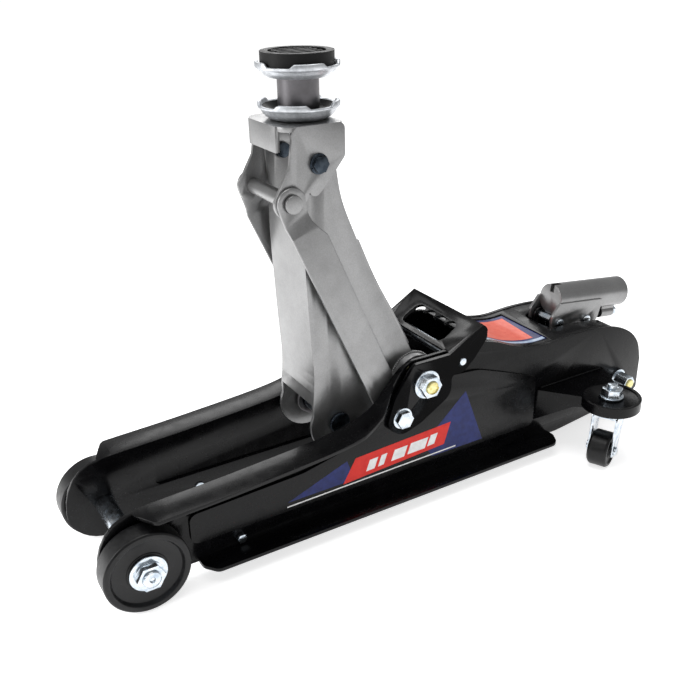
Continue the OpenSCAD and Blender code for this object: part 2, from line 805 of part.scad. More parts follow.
// Tube with an open mouth, a yoke of two cheeks under its inner end and a clamp boss near its mouth
module handle_socket() {
    boss_l = 20;
    boss_x = tube_l - 26;
    yoke = rounded([[-11, -5, 4], [0, -12, 8], [54, -13, 8], [62, 0, 6], [66, tube_up, 2], [-2, tube_up, 2],
        [-12, 8, 6]]);
    color(silver) on_axle() difference() {
        inclined(socket_x, socket_z, -tube_slope) difference() {
            union() {
                translate([0, 0, tube_up]) rotate([0, 90, 0]) cylinder(r = tube_r, h = tube_l);
                for (s = [-1, 1]) side_wall(yoke, 16, 19.5, s);
                translate([boss_x, -5, -1]) cube([boss_l, 10, 9]);
                translate([boss_x, 0, clamp_up]) rotate([0, 90, 0]) cylinder(r = 7, h = boss_l);
            }
            translate([6, 0, tube_up]) rotate([0, 90, 0]) cylinder(r = tube_bore / 2, h = tube_l);
            translate([boss_x - 4, 0, clamp_up]) rotate([0, 90, 0]) cylinder(r = clamp_r + play, h = 30);
            bar(0, 0, -30, 30, 5 + play);
            translate([-4, -3, tube_up + 8]) cube([16, 6, 12]);
        }
        bar(pump_x, pump_pin_z, -30, 30, 4 + play);
    }
}

module pump_pin() {
    color(zinc) on_axle() union() {
        bar(pump_x, pump_pin_z, -19.5, 19.5, 4);
        bar(pump_x, pump_pin_z, 19.5, 21.5, 5.5);
        bar(pump_x, pump_pin_z, -21.5, -19.5, 5.5);
    }
}

module clamp_bolt() {
    color(zinc) on_axle() inclined(socket_x, socket_z, -tube_slope)
        translate([0, 0, clamp_up]) rotate([0, 90, 0]) {
            translate([0, 0, tube_l - 24]) cylinder(r = clamp_r, h = 20);
            translate([0, 0, tube_l - 5.6]) cylinder(r = 6.5, h = 5, $fn = 6);
        }
}

side_plate_left();
side_plate_right();
top_cover();
carry_handle();
handle_rod();
front_axle();
axle_washers();
axle_nuts();
front_wheel_left();
front_wheel_right();
plate_bolts();
arm_shaft();
arm_shaft_nuts();
link_bolts();
rear_tie_bolt();
rear_tie_nuts();
caster_wing_left();
caster_wing_right();
caster_head_left();
caster_head_right();
caster_fork_left();
caster_fork_right();
caster_axle_left();
caster_axle_right();
caster_nut_left();
caster_nut_right();
caster_wheel_left();
caster_wheel_right();
lift_arm();
ram_pin();
saddle_bracket();
bracket_bolts();
link_pin();
link_left();
link_right();
lower_saddle();
extension_post();
upper_saddle();
rubber_pad();
ram_rod();
crosshead();
spring_bar();
push_link_left();
push_link_right();
return_springs();
pressure_cylinder();
reservoir();
power_block();
pump_body();
pump_piston();
socket_pin();
handle_socket();
pump_pin();
clamp_bolt();
release_valve();
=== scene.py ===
import json
import math
import bpy
from mathutils import Euler, Matrix, Vector


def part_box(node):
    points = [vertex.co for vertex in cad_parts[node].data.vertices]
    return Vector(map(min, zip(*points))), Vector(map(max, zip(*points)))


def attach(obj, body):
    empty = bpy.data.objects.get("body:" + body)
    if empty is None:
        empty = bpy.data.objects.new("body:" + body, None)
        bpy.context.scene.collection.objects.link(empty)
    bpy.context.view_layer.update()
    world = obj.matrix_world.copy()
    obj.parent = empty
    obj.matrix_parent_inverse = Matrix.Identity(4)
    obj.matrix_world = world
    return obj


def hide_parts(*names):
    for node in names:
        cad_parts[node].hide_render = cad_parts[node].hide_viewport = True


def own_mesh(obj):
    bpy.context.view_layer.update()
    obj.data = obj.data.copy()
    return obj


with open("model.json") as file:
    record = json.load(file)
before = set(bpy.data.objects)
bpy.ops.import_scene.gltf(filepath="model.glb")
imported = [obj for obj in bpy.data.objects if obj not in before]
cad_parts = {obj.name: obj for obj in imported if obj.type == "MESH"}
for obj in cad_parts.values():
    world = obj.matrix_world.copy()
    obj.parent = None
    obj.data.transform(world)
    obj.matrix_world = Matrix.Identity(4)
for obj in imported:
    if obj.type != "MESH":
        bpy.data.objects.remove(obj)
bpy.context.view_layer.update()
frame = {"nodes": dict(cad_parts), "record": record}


def centre(node):
    low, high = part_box(node)
    return (low + high) / 2


axle = centre("front_axle")
pivot = centre("arm_shaft")
topBolt = centre("bracket_bolts")
swivel = {"left": centre("caster_nut_left"), "right": centre("caster_nut_right")}


def fromAxle(x, y, z):  # millimetres behind the front axle, to the right and over the floor
    return Vector((axle.x + x / 1000, y / 1000, z / 1000))


def deselect():
    if bpy.context.object and bpy.context.object.mode != "OBJECT":
        bpy.ops.object.mode_set(mode="OBJECT")
    bpy.ops.object.select_all(action="DESELECT")


def activate(piece):
    deselect()
    piece.select_set(True)
    bpy.context.view_layer.objects.active = piece


def editAll(piece):
    activate(piece)
    bpy.ops.object.mode_set(mode="EDIT")
    bpy.ops.mesh.select_all(action="SELECT")


def closeEdit():
    bpy.ops.object.mode_set(mode="OBJECT")


def applyModifiers(piece):
    activate(piece)
    for modifier in list(piece.modifiers):
        bpy.ops.object.modifier_apply(modifier=modifier.name)


def colour(hexValue):  # an sRGB hex value as linear colour
    parts = [int(hexValue[i:i + 2], 16) / 255 for i in (1, 3, 5)]
    return [p / 12.92 if p <= 0.04045 else ((p + 0.055) / 1.055) ** 2.4 for p in parts] + [1]


def perMetre(size):  # texture scale that makes one feature this many millimetres
    return 1000 / size


def addNode(material, kind, settings=None, links=None):
    node = material.node_tree.nodes.new(kind)
    for key, value in (settings or {}).items():
        if isinstance(key, int) or key in node.inputs:
            node.inputs[key].default_value = value
        else:
            setattr(node, key, value)
    for key, source in (links or {}).items():
        material.node_tree.links.new(source, node.inputs[key])
    return node


def startMaterial(name, surface):
    material = bpy.data.materials.new(name)
    material.use_nodes = True
    shader = material.node_tree.nodes["Principled BSDF"]
    for key, value in surface.items():
        shader.inputs[key].default_value = value
    place = addNode(material, "ShaderNodeTexCoord").outputs["Object"]
    return material, shader, place


def join(material, source, target):
    material.node_tree.links.new(source, target)


def ramped(material, source, low, high, start, end):  # source spread from one colour to another
    ramp = addNode(material, "ShaderNodeValToRGB", links={"Fac": source})
    ramp.color_ramp.elements[0].position = start
    ramp.color_ramp.elements[1].position = end
    ramp.color_ramp.elements[0].color = low
    ramp.color_ramp.elements[1].color = high
    return ramp.outputs["Color"]


def spread(material, source, low, high, start=0.3, end=0.7):  # source mapped to a range of numbers
    mapped = addNode(material, "ShaderNodeMapRange",
                     {"From Min": start, "From Max": end, "To Min": low, "To Max": high}, {"Value": source})
    return mapped.outputs["Result"]


def noise(material, place, size, detail=2.0, rough=0.5):
    node = addNode(material, "ShaderNodeTexNoise",
                   {"Scale": perMetre(size), "Detail": detail, "Roughness": rough}, {"Vector": place})
    return node.outputs["Fac"]


def bumped(material, shader, height, strength, depth):  # depth in millimetres
    bump = addNode(material, "ShaderNodeBump", {"Strength": strength, "Distance": depth / 1000},
                   {"Height": height})
    join(material, bump.outputs["Normal"], shader.inputs["Normal"])


def makePowderCoat():
    # polyester powder coat, sprayed and baked: deep gloss with orange peel, and a faint film of dust
    surface = {"Specular IOR Level": 0.17, "Coat Weight": 0.06, "Coat Roughness": 0.06}
    material, shader, place = startMaterial("gloss black powder coat", surface)
    dust = noise(material, place, 55, 4, 0.6)
    join(material, ramped(material, dust, colour("#040405"), colour("#0b0b0d"), 0.35, 0.75),
         shader.inputs["Base Color"])
    join(material, spread(material, noise(material, place, 14, 3), 0.2, 0.32), shader.inputs["Roughness"])
    bumped(material, shader, noise(material, place, 2.6, 1), 0.16, 0.05)
    return material


def makeSilverPaint():
    # metallic silver enamel sprayed on pressed steel: satin, slightly cloudy from the gun, and its flake
    # drawn coarser than real to show
    surface = {"Metallic": 0.88, "Coat Weight": 0.12, "Coat Roughness": 0.2}
    material, shader, place = startMaterial("silver metallic enamel", surface)
    cloud = noise(material, place, 38, 3, 0.6)
    flake = addNode(material, "ShaderNodeTexVoronoi", {"Scale": perMetre(0.9)}, {"Vector": place})
    base = ramped(material, cloud, colour("#858589"), colour("#919196"), 0.3, 0.72)
    sparkle = addNode(material, "ShaderNodeMix", {"data_type": "RGBA", "blend_type": "OVERLAY", 0: 0.07},
                      {6: base, 7: flake.outputs["Color"]})
    greyed = addNode(material, "ShaderNodeHueSaturation", {"Saturation": 0.05}, {"Color": sparkle.outputs[2]})
    join(material, greyed.outputs["Color"], shader.inputs["Base Color"])
    join(material, spread(material, noise(material, place, 9, 3), 0.28, 0.37), shader.inputs["Roughness"])
    bumped(material, shader, noise(material, place, 6, 2), 0.2, 0.08)
    return material


def makeCastZinc():
    # zinc-plated steel casting, tumbled: pale, with cast grain and darker low spots
    material, shader, place = startMaterial("zinc plated casting", {"Metallic": 0.8})
    patch = noise(material, place, 11, 4, 0.65)
    join(material, ramped(material, patch, colour("#9a9da1"), colour("#d3d6da"), 0.28, 0.62),
         shader.inputs["Base Color"])
    join(material, spread(material, patch, 0.5, 0.34), shader.inputs["Roughness"])
    bumped(material, shader, noise(material, place, 1.3, 4, 0.6), 0.3, 0.12)
    return material


def makeBrightZinc():
    # bright zinc plate with a blue passivate: nearly a mirror, clouded and finely scratched
    material, shader, place = startMaterial("blue passivated zinc plate", {"Metallic": 1.0})
    cloud = noise(material, place, 7, 3, 0.6)
    join(material, ramped(material, cloud, colour("#a9b6c3"), colour("#dfe4e8"), 0.3, 0.66),
         shader.inputs["Base Color"])
    stretched = addNode(material, "ShaderNodeMapping", {"Scale": (1, 0.12, 1)}, {"Vector": place})
    scratch = noise(material, stretched.outputs["Vector"], 0.7, 2)
    join(material, spread(material, cloud, 0.28, 0.14), shader.inputs["Roughness"])
    bumped(material, shader, scratch, 0.12, 0.03)
    return material


def makeYellowZinc():
    # yellow chromate zinc plate: pale brassy yellow that drifts towards green
    material, shader, place = startMaterial("yellow passivated zinc plate", {"Metallic": 0.75})
    cloud = noise(material, place, 4, 3, 0.6)
    join(material, ramped(material, cloud, colour("#cdbf72"), colour("#f0e7ae"), 0.3, 0.65),
         shader.inputs["Base Color"])
    join(material, spread(material, cloud, 0.36, 0.24), shader.inputs["Roughness"])
    bumped(material, shader, noise(material, place, 0.8, 2), 0.12, 0.03)
    return material


def makeTurnedSteel():
    # mild steel turned on a lathe and oiled: grey-brown, with tool rings drawn coarser than real to show
    material, shader, place = startMaterial("oiled turned steel", {"Metallic": 0.9})
    cloud = noise(material, place, 16, 3, 0.6)
    join(material, ramped(material, cloud, colour("#615f61"), colour("#6f6d70"), 0.3, 0.7),
         shader.inputs["Base Color"])
    rings = addNode(material, "ShaderNodeTexWave", {"bands_direction": "Z", "Scale": perMetre(5),
                                                    "Distortion": 0.4, "Detail": 1.0}, {"Vector": place})
    join(material, spread(material, cloud, 0.42, 0.3), shader.inputs["Roughness"])
    bumped(material, shader, rings.outputs["Fac"], 0.1, 0.03)
    return material


def makeBlackSteel():
    # quenched and blackened bolt steel: dark blue-grey, lighter in random patches that are painted highlight
    # for its bright edges
    material, shader, place = startMaterial("blackened bolt steel", {"Metallic": 0.95})
    highlightPatches = noise(material, place, 7, 2, 0.5)
    join(material, ramped(material, highlightPatches, colour("#2f363e"), colour("#4d555d"), 0.4, 0.8),
         shader.inputs["Base Color"])
    join(material, spread(material, highlightPatches, 0.2, 0.36), shader.inputs["Roughness"])
    bumped(material, shader, noise(material, place, 0.9, 2), 0.1, 0.03)
    return material


def makeWheelNylon():
    # injection-moulded black nylon: soft sheen, with dust in its texture and scuffs where it rolls
    material, shader, place = startMaterial("moulded black nylon", {"IOR": 1.53, "Specular IOR Level": 0.28})
    scuff = noise(material, place, 5, 5, 0.7)
    join(material, ramped(material, scuff, colour("#070708"), colour("#151517"), 0.42, 0.8),
         shader.inputs["Base Color"])
    join(material, spread(material, scuff, 0.26, 0.46), shader.inputs["Roughness"])
    bumped(material, shader, noise(material, place, 1.1, 3), 0.14, 0.06)
    return material


def makeRubber():
    # moulded nitrile rubber: matt, faintly grained, greyed by bloom
    surface = {"IOR": 1.52, "Specular IOR Level": 0.2}
    material, shader, place = startMaterial("moulded nitrile rubber", surface)
    bloom = noise(material, place, 9, 4, 0.6)
    join(material, ramped(material, bloom, colour("#060606"), colour("#101011"), 0.35, 0.75),
         shader.inputs["Base Color"])
    join(material, spread(material, bloom, 0.42, 0.6), shader.inputs["Roughness"])
    bumped(material, shader, noise(material, place, 0.9, 3), 0.35, 0.1)
    return material


def makeVinyl(name, low, high):
    # printed vinyl film under a clear lacquer: flat colour with the printer's faint mottle
    surface = {"Specular IOR Level": 0.2, "Coat Weight": 0.1, "Coat Roughness": 0.12}
    material, shader, place = startMaterial(name, surface)
    join(material, ramped(material, noise(material, place, 6, 3), colour(low), colour(high), 0.3, 0.7),
         shader.inputs["Base Color"])
    join(material, spread(material, noise(material, place, 12, 2), 0.3, 0.42), shader.inputs["Roughness"])
    bumped(material, shader, noise(material, place, 2.5, 1), 0.06, 0.03)
    return material


powderCoat = makePowderCoat()
silverPaint = makeSilverPaint()
castZinc = makeCastZinc()
brightZinc = makeBrightZinc()
yellowZinc = makeYellowZinc()
turnedSteel = makeTurnedSteel()
blackSteel = makeBlackSteel()
wheelNylon = makeWheelNylon()
rubber = makeRubber()
vinylRed = makeVinyl("red printed vinyl", "#cf1f16", "#dc2a1e")
vinylPink = makeVinyl("faded red printed vinyl", "#e0563f", "#ec7460")
vinylBlue = makeVinyl("blue printed vinyl", "#141d52", "#1e2b6b")
vinylWhite = makeVinyl("white printed vinyl", "#dcdcdc", "#f2f2f2")
vinylPale = makeVinyl("pale blue printed vinyl", "#9fb2cc", "#c2cfe0")
print("materials made")


def finishPiece(piece, body, material, smooth):  # smooth: the angle up to which faces blend, in degrees
    activate(piece)
    bpy.ops.object.transform_apply(location=True, rotation=True, scale=True)
    bpy.ops.object.shade_smooth_by_angle(angle=math.radians(smooth))
    piece.data.materials.clear()
    piece.data.materials.append(material)
    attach(piece, body)


def bodyOf(node):
    for body, members in frame["record"]["behaviour"]["bodies"].items():
        if node in members:
            return body


edgeWork = {  # merge in mm, the angles flat, sharp and blend in degrees
    "merge": 0.02, "flat": 0.4, "roundSteps": 4, "bevelSteps": 2, "sharp": 38, "blend": 46,
}


def mergedCopy(node):  # the CAD node's mesh with its doubles merged and its flat faces whole
    mesh = frame["nodes"][node].data.copy()
    piece = bpy.data.objects.new(node + "_finished", mesh)
    bpy.context.scene.collection.objects.link(piece)
    activate(piece)
    bpy.ops.mesh.customdata_custom_splitnormals_clear()
    editAll(piece)
    bpy.ops.mesh.remove_doubles(threshold=edgeWork["merge"] / 1000)
    bpy.ops.mesh.dissolve_limited(angle_limit=math.radians(edgeWork["flat"]))
    closeEdit()
    return piece


def roundEdges(piece, test, width):  # rounds the edges whose two ends pass the test, in mm
    activate(piece)
    mesh = piece.data
    for items in (mesh.vertices, mesh.edges, mesh.polygons):
        items.foreach_set("select", [False] * len(items))
    points = [Vector((v.co.x - axle.x, v.co.y, v.co.z)) * 1000 for v in mesh.vertices]
    chosen = 0
    for edge in mesh.edges:
        if test(points[edge.vertices[0]]) and test(points[edge.vertices[1]]):
            edge.select = True
            chosen += 1
    bpy.ops.object.mode_set(mode="EDIT")
    bpy.ops.mesh.select_mode(type="EDGE")
    if chosen:
        bpy.ops.mesh.bevel(offset=width / 1000, segments=edgeWork["roundSteps"], affect="EDGES",
                           clamp_overlap=True)
    bpy.ops.mesh.select_mode(type="VERT")
    closeEdit()


def softened(node, width, material, rounds):
    piece = mergedCopy(node)
    for test, radius in rounds:
        roundEdges(piece, test, radius)
    bevel = piece.modifiers.new("Rounded edges", "BEVEL")
    bevel.width = width / 1000
    bevel.segments = edgeWork["bevelSteps"]
    bevel.limit_method = "ANGLE"
    bevel.angle_limit = math.radians(edgeWork["sharp"])
    weighted = piece.modifiers.new("Flat faces", "WEIGHTED_NORMAL")
    weighted.keep_sharp = True
    applyModifiers(piece)
    finishPiece(piece, bodyOf(node), material, edgeWork["blend"])
    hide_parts(node)
    return piece


softNodes = {  # rounding on each node's edges in mm, and its finish
    "side_plate_left": (0.8, powderCoat), "side_plate_right": (0.8, powderCoat),
    "top_cover": (0.6, powderCoat), "carry_handle": (0.9, powderCoat),
    "caster_wing_left": (0.8, powderCoat), "caster_wing_right": (0.8, powderCoat),
    "caster_head_left": (0.8, powderCoat), "caster_head_right": (0.8, powderCoat),
    "handle_rod": (0.5, brightZinc), "front_axle": (0.7, brightZinc),
    "axle_washers": (0.5, brightZinc), "axle_nuts": (0.7, brightZinc), "plate_bolts": (0.4, brightZinc),
    "arm_shaft": (0.7, yellowZinc), "arm_shaft_nuts": (0.8, brightZinc), "link_bolts": (0.7, brightZinc),
    "rear_tie_bolt": (0.5, yellowZinc), "rear_tie_nuts": (0.6, brightZinc),
    "caster_fork_left": (0.4, brightZinc), "caster_fork_right": (0.4, brightZinc),
    "caster_axle_left": (0.5, brightZinc), "caster_axle_right": (0.5, brightZinc),
    "caster_nut_left": (0.7, brightZinc), "caster_nut_right": (0.7, brightZinc),
    "lift_arm": (0.7, silverPaint), "saddle_bracket": (0.8, silverPaint),
    "link_left": (0.8, silverPaint), "link_right": (0.8, silverPaint), "link_pin": (1.0, silverPaint),
    "ram_pin": (0.9, blackSteel), "bracket_bolts": (0.9, blackSteel),
    "crosshead": (0.8, turnedSteel), "spring_bar": (0.6, brightZinc),
    "push_link_left": (0.5, turnedSteel), "push_link_right": (0.5, turnedSteel),
    "ram_rod": (0.4, brightZinc), "pressure_cylinder": (0.8, turnedSteel), "reservoir": (1.0, powderCoat),
    "power_block": (1.0, powderCoat), "pump_body": (0.5, turnedSteel), "pump_piston": (0.5, brightZinc),
    "socket_pin": (0.5, brightZinc), "handle_socket": (0.6, silverPaint), "pump_pin": (0.4, brightZinc),
    "clamp_bolt": (0.5, brightZinc), "release_valve": (0.5, brightZinc),
    "extension_post": (0.8, turnedSteel), "rubber_pad": (0.6, rubber),
    "front_wheel_left": (0.5, wheelNylon), "front_wheel_right": (0.5, wheelNylon),
    "caster_wheel_left": (0.5, wheelNylon), "caster_wheel_right": (0.5, wheelNylon),
}

bends = {  # pressed corners in mm: outer radius, distance from the middle plane, and reach
    "arm": {"radius": 9, "across": 33.6, "near": 0.3, "back": 196, "low": 134, "high": 324},
    "bracket": {"radius": 5, "overBolt": 32.7, "offSaddle": 20},
    "plate": {"radius": 2.8, "across": 48.5, "near": 0.2, "front": 10, "back": 618, "low": 84},
    "panel": {"radius": 2.4, "across": 56.5, "near": 0.2, "low": 30, "offPivot": 30,
              "linkBolt": (276, 103), "offBolt": 12},
}


def behind(point):  # millimetres behind the front axle
    return (point.x - axle.x) * 1000


saddleX = behind(centre("lower_saddle"))


def onSide(p, bend):  # on the line of a corner, on either side; p is in mm as fromAxle counts them
    return abs(abs(p.y) - bend["across"]) < bend["near"]


def armFront(p):
    bend = bends["arm"]
    return onSide(p, bend) and p.x < bend["back"] and bend["low"] < p.z < bend["high"]


def bracketTop(p):
    bend = bends["bracket"]
    return p.z > topBolt.z * 1000 + bend["overBolt"] and math.hypot(p.x - saddleX, p.y) > bend["offSaddle"]


def plateBend(p):
    bend = bends["plate"]
    return onSide(p, bend) and p.z > bend["low"] and bend["front"] < p.x < bend["back"]


def panelRim(p):
    bend = bends["panel"]
    boltX, boltZ = bend["linkBolt"]
    offPivot = math.hypot(p.x - behind(pivot), p.z - pivot.z * 1000)
    offBolt = math.hypot(p.x - boltX, p.z - boltZ)
    return onSide(p, bend) and p.z > bend["low"] and offPivot > bend["offPivot"] and offBolt > bend["offBolt"]


sidePlate = [(plateBend, bends["plate"]["radius"]), (panelRim, bends["panel"]["radius"])]
pressed = {
    "lift_arm": [(armFront, bends["arm"]["radius"])],
    "saddle_bracket": [(bracketTop, bends["bracket"]["radius"])],
    "side_plate_left": sidePlate, "side_plate_right": sidePlate,
}

finished = {}
for node, (width, material) in softNodes.items():
    finished[node] = softened(node, width, material, pressed.get(node, ()))
print("CAD nodes softened")

cups = {  # sizes in mm, angles in degrees; the notches cut the rim into low and high quarters
    "lower_saddle": {"height": 15, "bore": 9.3, "stem": 12, "stemLength": 12.4, "turn": 7},
    "upper_saddle": {"height": 13.5, "bore": 8.1, "stem": 0, "stemLength": 0, "turn": 33},
    "notches": 4, "width": 42, "ramp": 8, "drop": 3.2, "rimBand": 1, "steps": 144,
}


def spinProfile(name, profile, middle, steps):  # turns a closed loop of radii and heights, in mm
    deselect()
    bpy.ops.mesh.primitive_circle_add(vertices=len(profile), radius=1, fill_type="NOTHING",
                                      location=(0, 0, 0))
    piece = bpy.context.object
    piece.name = name
    for vertex, (radius, height) in zip(piece.data.vertices, profile):
        vertex.co = middle + Vector((radius, 0, height)) / 1000
    editAll(piece)
    bpy.ops.mesh.spin(steps=steps, angle=math.tau, center=middle, axis=(0, 0, 1))
    bpy.ops.mesh.select_all(action="SELECT")
    bpy.ops.mesh.remove_doubles(threshold=0.00001)
    bpy.ops.mesh.normals_make_consistent(inside=False)
    closeEdit()
    return piece


def eased(t):
    t = min(max(t, 0), 1)
    return t * t * (3 - 2 * t)


def cupProfile(radius, height, bore, stem, stemLength):  # radii and heights over the cup's underside
    bowl = height - 5  # the rim stands 5 mm over the bowl
    foot = [(bore, -stemLength), (stem, -stemLength), (stem, 0)] if stem else [(bore, 0)]
    outside = [(24, 0), (26.5, 0.07 * bowl), (29.7, 0.29 * bowl), (radius - 3.8, 0.58 * bowl),
               (radius - 2.7, 0.8 * bowl), (radius - 1.3, 0.92 * bowl), (radius - 0.3, bowl)]
    rim = [(radius, height - 4), (radius, height - 0.7), (radius - 0.6, height), (radius - 2.6, height),
           (radius - 3.2, height - 0.7), (radius - 4.2, height - 4)]
    inside = [(radius - 5.2, height - 5.6), (radius - 7.4, 0.72 * bowl), (radius - 10.4, 0.49 * bowl),
              (22.6, 4.05), (bore, 4)]
    return foot + outside + rim + inside


def addCup(node):
    low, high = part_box(node)
    sizes = cups[node]
    middle = Vector(((low.x + high.x) / 2, 0, high.z - sizes["height"] / 1000))
    radius = (high.x - low.x) * 500
    profile = cupProfile(radius, sizes["height"], sizes["bore"], sizes["stem"], sizes["stemLength"])
    cup = spinProfile(node + "_turned", profile, middle, cups["steps"])
    step = 360 / cups["notches"]
    for vertex in cup.data.vertices:
        if vertex.co.z > high.z - cups["rimBand"] / 1000:
            angle = math.degrees(math.atan2(vertex.co.y, vertex.co.x - middle.x)) - sizes["turn"]
            away = abs((angle + step / 2) % step - step / 2)
            deep = 1 - eased((away - cups["width"] / 2 + cups["ramp"] / 2) / cups["ramp"])
            vertex.co.z -= cups["drop"] / 1000 * deep
    finishPiece(cup, bodyOf(node), castZinc, 50)
    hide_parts(node)
    return middle


cupFloor = addCup("lower_saddle")
addCup("upper_saddle")
# a dark rubber ring laid low in the lower cup's hollow: painted shade for the shadow that falls inside the
# cup
cupShadeProfile = [(18.9, 4.2), (22.2, 4.2), (25.4, 5.2), (28.2, 7.4), (30.5, 9.6), (31.5, 11.4),  # its underside
        (30.3, 11.6), (28.2, 9.2), (25.6, 7.2), (24.9, 6.7), (24.2, 7.1), (18.9, 6.8)]  # and its top
cupShadeRing = spinProfile("saddle_cup_painted_shade", cupShadeProfile, cupFloor, 96)
finishPiece(cupShadeRing, "saddle", rubber, 40)
print("saddle cups turned")

springs = {  # in mm; keep is the shortest length as a part of the length at rest
    "wire": 1.7, "across": 7.6, "pitch": 3.4, "steps": 14, "keep": 0.5575,
}


def addSprings():
    low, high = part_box("return_springs")
    length = (high.x - low.x) * 1000
    radius = springs["across"] / 2 - springs["wire"] / 2
    for side, name in ((-1, "left"), (1, "right")):
        middle = Vector((low.x, side * (high.y - springs["across"] / 2000), (low.z + high.z) / 2))
        deselect()
        bpy.ops.mesh.primitive_circle_add(vertices=6, radius=springs["wire"] / 2000, fill_type="NGON",
                                          location=(0, radius / 1000, springs["wire"] / 2000),
                                          rotation=(0, math.pi / 2, 0))
        coil = bpy.context.object
        coil.name = "return_spring_" + name
        bpy.ops.object.transform_apply(location=True, rotation=True, scale=True)
        turns = int((length - springs["wire"]) / springs["pitch"])
        screw = coil.modifiers.new("Coil", "SCREW")
        screw.axis = "Z"
        screw.screw_offset = springs["pitch"] / 1000
        screw.iterations = turns
        screw.steps = springs["steps"]
        screw.render_steps = springs["steps"]
        screw.use_merge_vertices = True
        applyModifiers(coil)
        editAll(coil)
        bpy.ops.mesh.normals_make_consistent(inside=False)
        closeEdit()
        coil.rotation_euler = (0, math.pi / 2, 0)
        coil.location = middle
        finishPiece(coil, "root", brightZinc, 80)
        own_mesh(coil)
        if side < 0:
            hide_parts("return_springs")


addSprings()
print("springs wound")

rim = {  # the arm's rolled rear edges in mm: the path is behind the axle and over the floor
    "radius": 1.9, "across": 31.9, "path": [(243, 286), (261, 245), (288, 194), (301, 168)],
}


def addArmRims():
    for side, name in ((-1, "left"), (1, "right")):
        deselect()
        bpy.ops.curve.primitive_bezier_curve_add(location=(0, 0, 0))
        edge = bpy.context.object
        edge.name = "arm_rim_" + name
        spline = edge.data.splines[0]
        spline.bezier_points.add(len(rim["path"]) - 2)
        for point, (x, z) in zip(spline.bezier_points, rim["path"]):
            point.co = fromAxle(x, side * rim["across"], z)
            point.handle_left_type = "AUTO"
            point.handle_right_type = "AUTO"
        edge.data.bevel_depth = rim["radius"] / 1000
        edge.data.bevel_resolution = 3
        edge.data.use_fill_caps = True
        activate(edge)
        bpy.ops.object.convert(target="MESH")
        finishPiece(bpy.context.object, "arm", silverPaint, 50)


addArmRims()
print("arm edges rolled")

threads = {  # radius, pitch, first turn's start and reach past the part's middle in mm
    "front_axle": (8, 1.5, 84.6, 86.6), "arm_shaft": (6.5, 1.25, 71.2, 72.5),
    "rear_tie_bolt": (5, 1.0, 72.6, 74.4),
}
stud = {"radius": 5, "pitch": 1.25, "length": 3.8, "overNut": 0.2}  # the casters' swivel studs
ridgeForm = {"sunk": 0.4, "proud": 0.3, "width": 0.96, "steps": 32}  # width as a part of the pitch


def addThread(name, radius, pitch, start, length, material, body):
    deselect()
    bpy.ops.mesh.primitive_circle_add(vertices=3, radius=0.001, fill_type="NGON", location=(0, 0, 0))
    ridge = bpy.context.object
    ridge.name = name
    low, high = radius - ridgeForm["sunk"], radius + ridgeForm["proud"]
    flank = [(low, 0), (high, pitch / 2), (low, pitch * ridgeForm["width"])]
    for vertex, (r, z) in zip(ridge.data.vertices, flank):
        vertex.co = Vector((r, 0, z)) / 1000
    screw = ridge.modifiers.new("Helix", "SCREW")
    screw.axis = "Z"
    screw.screw_offset = pitch / 1000
    screw.iterations = max(int(length / pitch), 1)
    screw.steps = ridgeForm["steps"]
    screw.render_steps = ridgeForm["steps"]
    screw.use_merge_vertices = True
    applyModifiers(ridge)
    editAll(ridge)
    bpy.ops.mesh.normals_make_consistent(inside=False)
    closeEdit()
    ridge.matrix_world = start
    finishPiece(ridge, body, material, 30)


for node, (radius, pitch, near, far) in threads.items():
    for side, name in ((-1, "left"), (1, "right")):
        middle = centre(node) + Vector((0, side * near / 1000, 0))
        turned = Matrix.Translation(middle) @ Matrix.Rotation(-side * math.pi / 2, 4, "X")
        addThread(node + "_thread_" + name, radius, pitch, turned, far - near,
                  softNodes[node][1], "root")
for side in ("left", "right"):
    low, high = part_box("caster_nut_" + side)
    place = Vector((swivel[side].x, swivel[side].y, high.z + stud["overNut"] / 1000))
    addThread("caster_stud_thread_" + side, stud["radius"], stud["pitch"], Matrix.Translation(place),
              stud["length"], brightZinc, bodyOf("caster_fork_" + side))
print("threads cut")

welds = {  # in mm and degrees: an arc round the arm's pivot, and a line under each caster wing
    "bead": 2.6, "pitch": 2.0,
    "hub": {"radius": 24.3, "across": 34.2, "start": 20, "step": 5.5, "beads": 26},
    "wing": {"across": 53.1, "height": 78.6, "front": 470, "back": 560},
}


def beadLine(a, b):
    count = max(int((b - a).length * 1000 / welds["pitch"]), 1)
    return [a.lerp(b, i / count) for i in range(count + 1)]


def addWeld(name, points, body, material):
    deselect()
    bpy.ops.mesh.primitive_uv_sphere_add(segments=8, ring_count=6, radius=welds["bead"] / 2000,
                                         location=points[0])
    first = bpy.context.object
    beads = [first]
    for point in points[1:]:
        bead = first.copy()
        bead.data = first.data.copy()
        bead.location = point
        bpy.context.scene.collection.objects.link(bead)
        beads.append(bead)
    deselect()
    for bead in beads:
        bead.select_set(True)
    bpy.context.view_layer.objects.active = first
    bpy.ops.object.join()
    weld = bpy.context.object
    weld.name = name
    finishPiece(weld, body, material, 60)


def addWelds():
    hub, wing = welds["hub"], welds["wing"]
    for side, name in ((-1, "left"), (1, "right")):
        arc = []
        for i in range(hub["beads"]):
            angle = math.radians(hub["start"] + i * hub["step"])
            reach = Vector((math.cos(angle), 0, math.sin(angle))) * hub["radius"]
            arc.append(pivot + (reach + Vector((0, side * hub["across"], 0))) / 1000)
        addWeld("hub_weld_" + name, arc, "arm", silverPaint)
        shelf = beadLine(fromAxle(wing["front"], side * wing["across"], wing["height"]),
                         fromAxle(wing["back"], side * wing["across"], wing["height"]))
        addWeld("wing_weld_" + name, shelf, "root", powderCoat)


addWelds()
print("welds laid")

